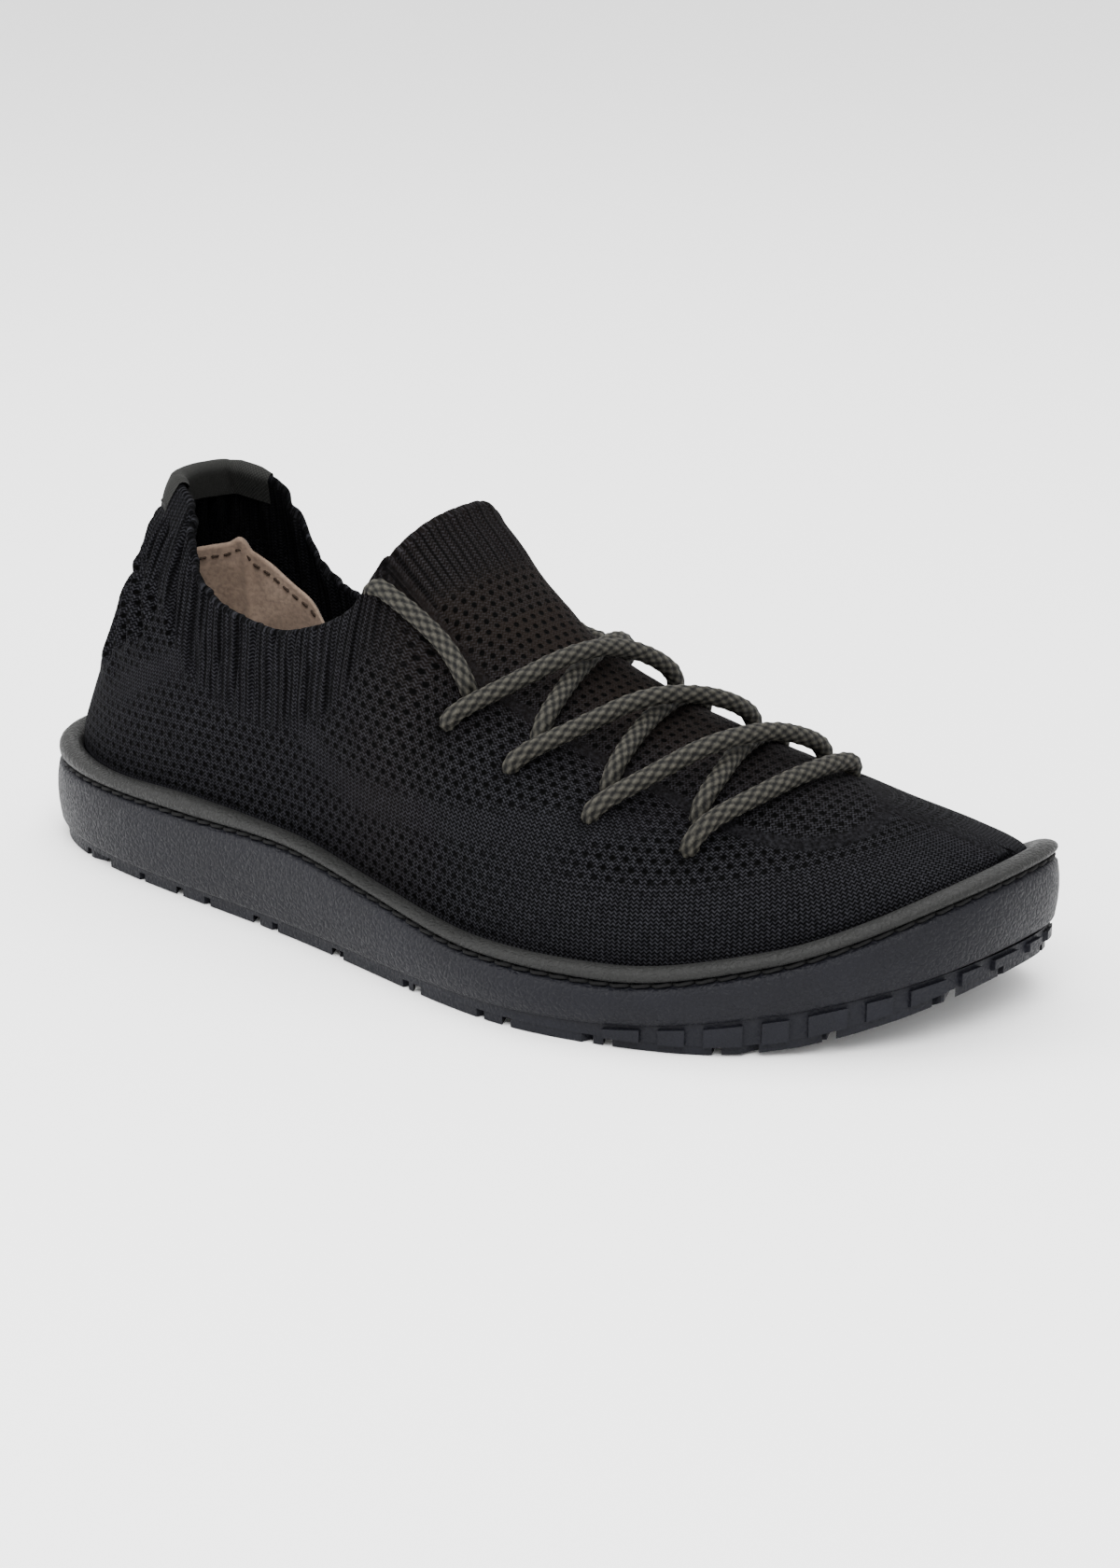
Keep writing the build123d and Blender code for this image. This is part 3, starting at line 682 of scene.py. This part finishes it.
def sole_profile(x):
    """Corners of the sole's wall at x, as (inset, height), from the parting line to the cup floor."""
    p, g, r = parting(x), groove(x), rim(x)
    wall = g - 1.0 - p
    bead = r - g - 0.7
    return [
        (8.0, p + 0.6), (2.0, p), (0.9, p), (0.45, p + 0.35), (0.15, p + 1.0),
        (-0.1, p + 0.16 * wall + 0.6), (-0.35, p + 0.35 * wall), (-0.45, p + 0.55 * wall),
        (-0.35, p + 0.72 * wall), (-0.1, p + 0.86 * wall), (0.2, g - 1.35),
        (0.6, g - 0.95), (1.2, g - 0.75), (1.75, g - 0.55), (1.95, g - 0.1),
        (1.7, g + 0.35), (1.1, g + 0.5), (0.7, g + 0.75), (0.4, g + 1.2),
        (0.25, g + 0.7 + 0.38 * bead), (0.35, g + 0.7 + 0.58 * bead),
        (0.8, g + 0.7 + 0.78 * bead), (1.6, g + 0.7 + 0.93 * bead),
        (2.6, r - 0.02), (3.6, r - 0.05), (4.6, r - 0.45), (5.4, r - 1.1),
        (5.95, r - 2.1), (BEAD_INSET, r - 3.4), (BEAD_INSET, p + 3.0), (8.0, p + 2.2),
    ]


BEAD_CORNERS = range(17, 28)    # corners of the profile that belong to the rolled rim


def build_sole():
    """Side wall, stitching channel and rolled rim in one moulding round the shoe."""
    line = closed_line(OUTLINE, SOLE_COLUMNS)
    inward = inwards(line)
    rows = [np.concatenate([line + inward * inset, z[:, None]], 1)
            for inset, z in sole_profile(line[:, 0])]
    grid = np.stack(rows, 1)
    wobble = 0.12 * softness(grid, 12.0) + 0.06 * softness(grid, 5.0)
    outward = np.concatenate([-inward, np.zeros((SOLE_COLUMNS, 1))], 1)
    bead = np.zeros(grid.shape[:2])
    bead[:, BEAD_CORNERS] = 1
    return grid_mesh("sole_wall", grid + outward[:, None] * wobble[..., None], {"bead": bead},
                     close_u=True, close_v=True, flip=True)


sole = build_sole()
stands_for(sole, "cup_sole")

STITCHES = 132
STITCH_STEPS = 14          # points along each stitch
THREAD_RADIUS = 0.42


def build_thread():
    """Heavy lock-stitch lying in the channel, dipping into the rubber between stitches."""
    steps = STITCHES * STITCH_STEPS
    line = closed_line(OUTLINE, steps)
    phase = (np.arange(steps) % STITCH_STEPS) / STITCH_STEPS
    dip = np.exp(-((phase - 0.5) / 0.12) ** 2)
    plan = line + inwards(line) * (1 + dip)[:, None]
    z = groove(line[:, 0]) - 0.15 + 0.1 * np.sin(2 * math.pi * phase)
    centre = np.concatenate([plan, z[:, None]], 1)
    return grid_mesh("sole_thread", tube(centre, THREAD_RADIUS, 8)[0], close_u=True, close_v=True,
                     flip=True)


thread = build_thread()
stands_for(thread, "sidewall_stitching")

# ---------------------------------------------------------------- inside of the heel

LINING_TOP = [(0, 69), (30, 69.5), (38, 70.5), (41, 72), (44, 68.5), (49, 65), (53, 61), (57, 57.5),
              (60, 52), (66, 40), (78, 30)]
lining_top = smooth(LINING_TOP)
LINING_FOOT = 14.0         # height of the lining's lower edge
LINING_FRONT = 78.0        # front end of the lining
LINING_THICK = 0.9
LINING_ROWS = 60
SEAM_PEAK = (41, 72)       # where the lining's raised seam starts, (distance from heel, height)
SEAM_HEIGHT = 0.7


def heel_skin(side, last_x, inset):
    """Grid that follows the inner face of the heel on one side, up to the lining's top edge."""
    grid, normals = upper_faces[side][:2]
    columns = int((grid[:, 0, 0] < last_x).sum())
    out = []
    for i in range(0, columns, 2):
        shifted = grid[i] - normals[i] * inset
        z = shifted[:, 2]
        peak = min(float(lining_top((shifted[-1, 0] + shifted[ROWS // 2, 0]) / 2)), z[-1] - 1)
        levels = np.linspace(LINING_FOOT, max(peak, LINING_FOOT + 1), LINING_ROWS)
        order = np.argsort(z)
        plan = points_at(levels, z[order], shifted[order, :2])
        out.append(np.concatenate([plan, levels[:, None]], 1))
    return np.array(out)


def build_lining(side):
    """Suede half of the heel lining with a turned top edge."""
    name = "lining_lateral" if side < 0 else "lining_medial"
    front = heel_skin(side, LINING_FRONT, KNIT + 1.0 + LINING_THICK)
    back = heel_skin(side, LINING_FRONT, KNIT + 1.0)[:, ::-1]
    inward = front - back[:, ::-1]
    inward /= np.maximum(np.linalg.norm(inward, axis=2), 0.05)[..., None]
    seam = np.exp(-((front[..., 0] - SEAM_PEAK[0] - 0.1 * (front[..., 2] - SEAM_PEAK[1])) / 0.8) ** 2)
    front = front + inward * SEAM_HEIGHT * seam[..., None]
    grid = np.concatenate([front, (front[:, -1:] + back[:, :1]) / 2 + (0, 0, 0.35), back], 1)
    hem = np.zeros(grid.shape[:2])
    hem[:, LINING_ROWS - 5:LINING_ROWS + 3] = 1
    return grid_mesh(name, grid, {"level": grid[..., 2], "hem": hem}, flip=side < 0)


linings = {side: build_lining(side) for side in SIDES}
stands_for(linings[-1], "heel_lining_lateral")
stands_for(linings[1], "heel_lining_medial")

STRIP_DROP = (6.4, 0.4)    # the binding's outer face, from its lower edge to under the fold
STRIP_THIN, STRIP_PLUMP = 0.35, 0.55    # its thickness at the ends, and what the middle has on top


def tab_band():
    """Folded strip over the heel tab's top edge, from its outer face to its inner face."""
    rings = []
    for side in SIDES:
        grid, normals, marks, stops = upper_faces[side]
        partner = marks["partner"][:, 0]
        band_end = stops[0] + BAND_PAST[side]
        columns = [i for i in range(COLUMNS) if partner[i] < band_end]
        for i in columns[::-1] if side < 0 else columns[1:]:
            plump = float(1 - ramp(partner[i], band_end - 4.0, band_end))
            drop = marks["drop"][i]
            levels = np.linspace(*STRIP_DROP, 9)
            outer = points_at(-levels, -drop, grid[i])
            normal = normals[i, -4]
            thick = STRIP_THIN + STRIP_PLUMP * plump
            puff = thick * np.sin(np.linspace(0.25, math.pi / 2, 9))[:, None]
            face = outer + normal * puff
            lift = grid[i, -1] - grid[i, -3]
            lift /= np.linalg.norm(lift)
            half = KNIT / 2 + thick
            middle = grid[i, -1] - normal * KNIT / 2
            over = [middle + normal * half * math.cos(a) + lift * (0.6 + half * math.sin(a) * 0.8)
                    for a in np.linspace(0.2, math.pi - 0.2, 9)]
            inner = (outer - normal * (KNIT + thick))[::-1]
            rings.append(np.vstack([face, over, inner]))
    return np.array(rings)


band_grid = tab_band()
binding = grid_mesh("tab_binding", band_grid, {"weave": np.stack([
    np.repeat(np.arange(band_grid.shape[0])[:, None] * 0.6, band_grid.shape[1], 1),
    np.repeat(np.arange(band_grid.shape[1])[None] * 0.8, band_grid.shape[0], 0),
    np.zeros(band_grid.shape[:2])], -1)}, flip=True)
stands_for(binding, "heel_tab_binding")


def dashes(name, line, pitch, length, radius):
    """Separate stitches along a line in mm, each a short thread with pointed ends."""
    step = 0.25
    points = even_line(line, step)[0]
    each = int(length / step)
    pieces = []
    for start in range(0, len(points) - each, int(pitch / step)):
        grid, _ = tube(points[start:start + each], radius, 8)
        pieces.append(grid_mesh(f"{name}_{start}", capped(grid), close_v=True, flip=True))
    return joined_pieces(name, pieces)


def tab_stitch_line():
    """Line along the binding's outer face, just above its lower edge."""
    return band_grid[:, 1] * 0.6 + band_grid[:, 2] * 0.4


def hem_line(side):
    """Line just under the lining's top edge."""
    front = heel_skin(side, LINING_FRONT - 12, KNIT + 1.15 + LINING_THICK)
    return front[2:-6, LINING_ROWS - 4]


STITCH_PITCH, STITCH_LENGTH = 3.0, 2.25
tab_stitches = dashes("tab_stitches", tab_stitch_line(), STITCH_PITCH, STITCH_LENGTH, 0.28)
stands_for(tab_stitches, "heel_tab_stitching")
hem_stitches = joined_pieces("hem_stitches", [
    dashes(f"hem_{side}", hem_line(side), STITCH_PITCH, STITCH_LENGTH, 0.3) for side in SIDES])
stands_for(hem_stitches, "lining_hem_stitching")

# ---------------------------------------------------------------- materials


class Look:
    """A Principled material and short ways to add nodes to it."""

    def __init__(self, name, colour, roughness, **settings):
        self.material = bpy.data.materials.new(name)
        self.material.use_nodes = True
        self.tree = self.material.node_tree
        self.shader = self.tree.nodes["Principled BSDF"]
        self.shader.inputs["Base Color"].default_value = (*colour, 1)
        self.shader.inputs["Roughness"].default_value = roughness
        for key, value in settings.items():
            self.shader.inputs[key.replace("_", " ")].default_value = value

    def node(self, kind, sockets=(), **properties):
        node = self.tree.nodes.new(kind)
        for key, value in properties.items():
            setattr(node, key, value)
        for key, value in dict(sockets).items():
            self.feed(node.inputs[key], value)
        return node

    def feed(self, socket, value):
        if isinstance(value, bpy.types.NodeSocket):
            self.tree.links.new(value, socket)
        else:
            socket.default_value = value

    def math(self, operation, a, b=0.0):
        return self.node("ShaderNodeMath", {0: a, 1: b}, operation=operation).outputs[0]

    def plus(self, a, b):
        return self.math("ADD", a, b)

    def less(self, a, b):
        return self.math("SUBTRACT", a, b)

    def times(self, a, b):
        return self.math("MULTIPLY", a, b)

    def waves(self, value, length):
        return self.math("SINE", self.times(value, 2 * math.pi / length))

    def place(self):
        return self.node("ShaderNodeTexCoord").outputs["Object"]

    def value(self, name):
        return self.node("ShaderNodeAttribute", attribute_name=name).outputs["Fac"]

    def values(self, name):
        return self.split(self.node("ShaderNodeAttribute", attribute_name=name).outputs["Vector"])

    def step(self, value, low, high, out_low=0.0, out_high=1.0):
        sockets = {0: value, 1: low, 2: high, 3: out_low, 4: out_high}
        return self.node("ShaderNodeMapRange", sockets, interpolation_type="SMOOTHSTEP").outputs[0]

    def split(self, vector):
        node = self.node("ShaderNodeSeparateXYZ", {0: vector})
        return node.outputs[0], node.outputs[1], node.outputs[2]

    def noise(self, scale, detail=3.0):
        sockets = {"Vector": self.place(), "Scale": scale, "Detail": detail}
        return self.node("ShaderNodeTexNoise", sockets).outputs[0]

    def mix(self, share, a, b):
        node = self.node("ShaderNodeMix", {0: share, 6: a, 7: b}, data_type="RGBA")
        return node.outputs[2]

    def colour(self, value):
        self.feed(self.shader.inputs["Base Color"], value)

    def bump(self, height, distance, strength=1.0):
        sockets = {"Height": height, "Distance": distance, "Strength": strength}
        self.feed(self.shader.inputs["Normal"], self.node("ShaderNodeBump", sockets).outputs[0])

    def on(self, piece):
        piece.data.materials.clear()
        piece.data.materials.append(self.material)


THREAD = (0.0006, 0.0006, 0.0008, 1)
THREAD_LIT = (0.0175, 0.0175, 0.0205, 1)
THREAD_WARM = (0.0085, 0.0060, 0.0046, 1)
# Colour of the knit's open holes, also used as the painted shade colour.
HOLE_AND_SHADE = (0.0001, 0.0001, 0.0001, 1)
HOLE_PITCH = (3.1, 2.35)   # spacing of the knit's open holes across and up, in mm
HOLE_SIZE = (0.85, 0.75)   # half width and half height of a hole, in mm
STITCH = (1.15, 0.85)      # width and height of one stitch, in mm
WALE = 2.13                # width of one rib, in mm


def knit_holes(look, u, v):
    """Share of an open hole at (u, v), in rows that are set off by half a pitch."""
    row = look.math("DIVIDE", v, HOLE_PITCH[1])
    odd = look.times(look.math("MODULO", look.math("FLOOR", row), 2.0), 0.5)
    column = look.plus(look.math("DIVIDE", u, HOLE_PITCH[0]), odd)
    x, y = [look.times(look.less(look.math("FRACT", part), 0.5), pitch / size)
            for part, pitch, size in zip((column, row), HOLE_PITCH, HOLE_SIZE)]
    reach = look.math("SQRT", look.plus(look.times(x, x), look.times(y, y)))
    return look.step(reach, 1.05, 0.55)


def knit_stitches(look, u, v):
    """Height of small V-shaped stitches, about -0.6 to 0.6."""
    wale = look.math("FRACT", look.math("DIVIDE", u, STITCH[0]))
    tent = look.math("ABSOLUTE", look.less(wale, 0.5))
    loop = look.waves(look.plus(look.math("DIVIDE", v, STITCH[1]), look.times(tent, 1.3)), 1.0)
    return look.plus(look.times(loop, 0.45), look.times(look.waves(u, STITCH[0]), -0.16))


def knit_look():
    """Black engineered knit: fine V stitches, staggered open holes, and ribs beside the collar."""
    look = Look("black_knit", THREAD[:3], 0.9, Specular_IOR_Level=0.03)
    u, v, calm = look.values("weave")
    rib, mesh, warm = look.values("zones")
    hole = look.times(knit_holes(look, u, v), mesh)
    stitch = look.times(knit_stitches(look, u, v), look.less(1.0, calm))
    wales = look.waves(u, WALE)
    height = look.plus(look.times(stitch, 0.35), look.times(look.times(wales, 0.72), rib))
    height = look.plus(height, look.times(look.noise(2600.0, 2.0), 0.5))
    height = look.less(height, look.times(hole, 2.2))
    look.bump(height, 0.00035, 0.9)
    lit = look.step(look.plus(look.times(stitch, 0.8), look.noise(1300.0)), 0.25, 1.2)
    cloth = look.mix(lit, THREAD, THREAD_LIT)
    cloth = look.mix(look.times(warm, 0.75), cloth, THREAD_WARM)
    # Painted shade: the knit is darkened towards the hole colour in the rib grooves, on the inner face
    # and round the lace holes.
    groove_shade = look.times(look.step(wales, -0.2, -0.9), rib)
    holes_and_shade = look.math("MAXIMUM", hole, look.times(groove_shade, 0.75))
    holes_and_shade = look.math("MAXIMUM", holes_and_shade, look.times(look.value("painted_shade"), 0.6))
    look.colour(look.mix(holes_and_shade, cloth, HOLE_AND_SHADE))
    return look


# Painted light on the raised strand tops and painted shade in the gaps between strands.
BRAID_LIT = (0.0460, 0.0430, 0.0345, 1)
BRAID_SHADE = (0.0008, 0.0008, 0.0006, 1)


def braid_look():
    """Olive-grey braided cord: each strand of fine filaments, with painted light on the strand tops and
    painted shade in the gaps.
    """
    look = Look("lace_braid", (0.02, 0.02, 0.017), 0.7, Specular_IOR_Level=0.15)
    relief = look.value("relief")
    u, v, _ = look.values("weave")
    filament = look.math("SINE", look.times(look.plus(look.times(u, 40.0), v), 9.0))
    fuzz = look.noise(1800.0, 3.0)
    # Painted light and shade: the colour runs from the shade colour in the gaps to the lit colour on the
    # raised strand tops.
    lift = look.plus(relief, look.times(look.less(fuzz, 0.5), 0.6))
    look.colour(look.mix(look.step(lift, 0.25, 1.15), BRAID_SHADE, BRAID_LIT))
    look.bump(look.plus(look.times(filament, 0.12), look.plus(relief, fuzz)), 0.00025, 0.8)
    return look


RUBBER_SPECK = (0.028, 0.028, 0.030, 1)


def rubber_look(name, base, bead, grain=1.0):
    """Moulded rubber with a leather-like grain, paler where the rim is rubbed."""
    look = Look(name, base, 0.52, Specular_IOR_Level=0.12)
    cells = look.node("ShaderNodeTexVoronoi", {"Vector": look.place(), "Scale": 620.0},
                      feature="DISTANCE_TO_EDGE").outputs[0]
    pores = look.noise(1500.0, 4.0)
    creases = look.step(cells, 0.0, 0.25)
    look.bump(look.plus(look.times(creases, 0.5 * grain), look.times(pores, 1.1 * grain)), 0.00028, 0.8)
    worn = look.times(look.step(look.noise(60.0, 3.0), 0.35, 0.7), 0.4)
    wall, rim_tone = [look.mix(worn, (*tone, 1), tuple(wear * c for c in tone) + (1,))
                      for tone, wear in ((base, 1.5), (bead, 1.35))]
    tone = look.mix(look.value("bead"), wall, rim_tone)
    look.colour(look.mix(look.times(look.step(pores, 0.62, 0.75), 0.25), tone, RUBBER_SPECK))
    look.feed(look.shader.inputs["Roughness"], look.step(pores, 0.3, 0.75, 0.42, 0.68))
    return look


SUEDE = (0.185, 0.128, 0.092, 1)
SUEDE_BRUSHED = (0.285, 0.205, 0.152, 1)
SUEDE_NAP = (0.085, 0.058, 0.042, 1)
SUEDE_HEM = (0.13, 0.09, 0.065, 1)
# Painted shade colour near the lining's foot.
SUEDE_SHADE = (0.060, 0.040, 0.028, 1)


def suede_look():
    """Taupe microfibre with a short brushed nap, a turned hem, and painted shade that darkens it towards
    the foot.
    """
    look = Look("suede", (0.2, 0.14, 0.1), 0.95, Sheen_Weight=0.1, Sheen_Roughness=0.5)
    nap = look.noise(900.0, 5.0)
    tone = look.mix(look.step(look.noise(90.0, 3.0), 0.3, 0.7), SUEDE, SUEDE_BRUSHED)
    tone = look.mix(look.times(look.step(nap, 0.35, 0.6, 1.0, 0.0), 0.35), tone, SUEDE_NAP)
    tone = look.mix(look.times(look.value("hem"), 0.15), tone, SUEDE_HEM)
    # Painted shade: darker towards the bottom of the lining.
    look.colour(look.mix(look.step(look.value("level"), 64.0, 30.0, 0.0, 0.5), tone, SUEDE_SHADE))
    look.bump(nap, 0.0002, 0.8)
    return look


def weave_look(name, base, pale, pitch, along_piece=False):
    """Plain woven cloth or tape: crossing threads at a pitch in metres, or in mm along the piece."""
    look = Look(name, base, 0.85, Specular_IOR_Level=0.12)
    if along_piece:
        one, other, _ = look.values("weave")
    else:
        x, y, z = look.split(look.place())
        one, other = look.plus(x, z), look.less(look.plus(y, z), x)
    cross = look.times(look.waves(one, pitch), look.waves(other, pitch))
    fuzz = look.noise(1500.0)
    look.colour(look.mix(look.step(look.plus(cross, fuzz), -0.2, 1.3), (*base, 1), (*pale, 1)))
    look.bump(look.plus(look.times(cross, 0.5), fuzz), 0.00018, 0.7)
    return look


def grain_look(name, base, pale, scale, roughness):
    """Fine irregular surface, such as thread, foam, board or felt."""
    look = Look(name, base, roughness, Specular_IOR_Level=0.15)
    grain = look.noise(scale, 4.0)
    look.colour(look.mix(look.step(grain, 0.35, 0.7), (*base, 1), (*pale, 1)))
    look.bump(grain, 0.00015, 0.8)
    return look


def use(node, look):
    """Puts a look on a CAD node that stays visible."""
    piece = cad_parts[node]
    for place in piece.material_slots:
        place.material = look.material
    if not piece.material_slots:
        piece.data.materials.append(look.material)


knit = knit_look()
knit.on(upper)
knit.on(tongue)
braid_look().on(lace)
rubber = rubber_look("sole_rubber", (0.0034, 0.0035, 0.0052), (0.0100, 0.0101, 0.0098))
rubber.on(sole)
use("tread", rubber_look("tread_rubber", (0.0040, 0.0042, 0.0062), (0.01, 0.01, 0.01), 0.6))
grain_look("sole_thread", (0.0005, 0.0005, 0.0005), (0.0030, 0.0030, 0.0032), 3000.0, 0.8).on(thread)
suede = suede_look()
for side in SIDES:
    suede.on(linings[side])
weave_look("tab_binding", (0.0060, 0.0060, 0.0056), (0.0150, 0.0154, 0.0142), 1.3, True).on(binding)
use("insole_board", grain_look("board_felt", (0.35, 0.34, 0.31), (0.5, 0.48, 0.44), 700.0, 0.9))
use("footbed_foam", grain_look("footbed_foam", (0.03, 0.03, 0.032), (0.05, 0.05, 0.055), 1400.0, 0.9))
use("footbed_cover", weave_look("footbed_cloth", (0.015, 0.015, 0.016), (0.035, 0.035, 0.038), 0.0011))
use("heel_counter", grain_look("counter", (0.006, 0.006, 0.006), (0.012, 0.012, 0.012), 900.0, 0.8))
use("lining_seam_tape", weave_look("seam_tape", (0.15, 0.105, 0.075), (0.21, 0.155, 0.11), 0.0013))
grain_look("lining_thread", (0.016, 0.009, 0.006), (0.04, 0.026, 0.018), 3000.0, 0.7).on(hem_stitches)
grain_look("tab_thread", (0.003, 0.003, 0.003), (0.012, 0.012, 0.012), 3000.0, 0.7).on(tab_stitches)
tape_look = weave_look("eyelet_tape", (0.004, 0.004, 0.005), (0.012, 0.012, 0.013), 0.0012)
for node in ("eyelet_tape_lateral", "eyelet_tape_medial", "lace_anchor_lateral", "lace_anchor_medial"):
    use(node, tape_look)

# ---------------------------------------------------------------- floor and light


def add_area(name, place, size, power):
    """A square soft light aimed at the shoe."""
    data = bpy.data.lights.new(name, "AREA")
    data.size = size
    data.energy = power
    light = bpy.data.objects.new(name, data)
    light.location = place
    light.rotation_euler = (Vector((0, 0, 0.04)) - Vector(place)).to_track_quat("-Z", "Y").to_euler()
    bpy.context.scene.collection.objects.link(light)


def add_studio():
    """White floor and backdrop light with large soft boxes over the front and both sides."""
    bpy.ops.mesh.primitive_plane_add(size=12, location=(0, 0, -0.0002))
    floor = bpy.context.active_object
    floor.name = "floor"
    look = Look("floor", (0.95, 0.95, 0.95), 0.9)
    look.on(floor)
    world = bpy.data.worlds.new("studio")
    world.use_nodes = True
    world.node_tree.nodes["Background"].inputs["Color"].default_value = (1, 1, 1, 1)
    world.node_tree.nodes["Background"].inputs["Strength"].default_value = 1.9
    bpy.context.scene.world = world
    add_area("key", (0.5, -0.7, 1.1), 0.8, 26)
    add_area("side", (-0.9, -0.8, 0.7), 0.7, 14)
    add_area("top", (-0.1, 0.3, 1.3), 0.9, 16)


add_studio()
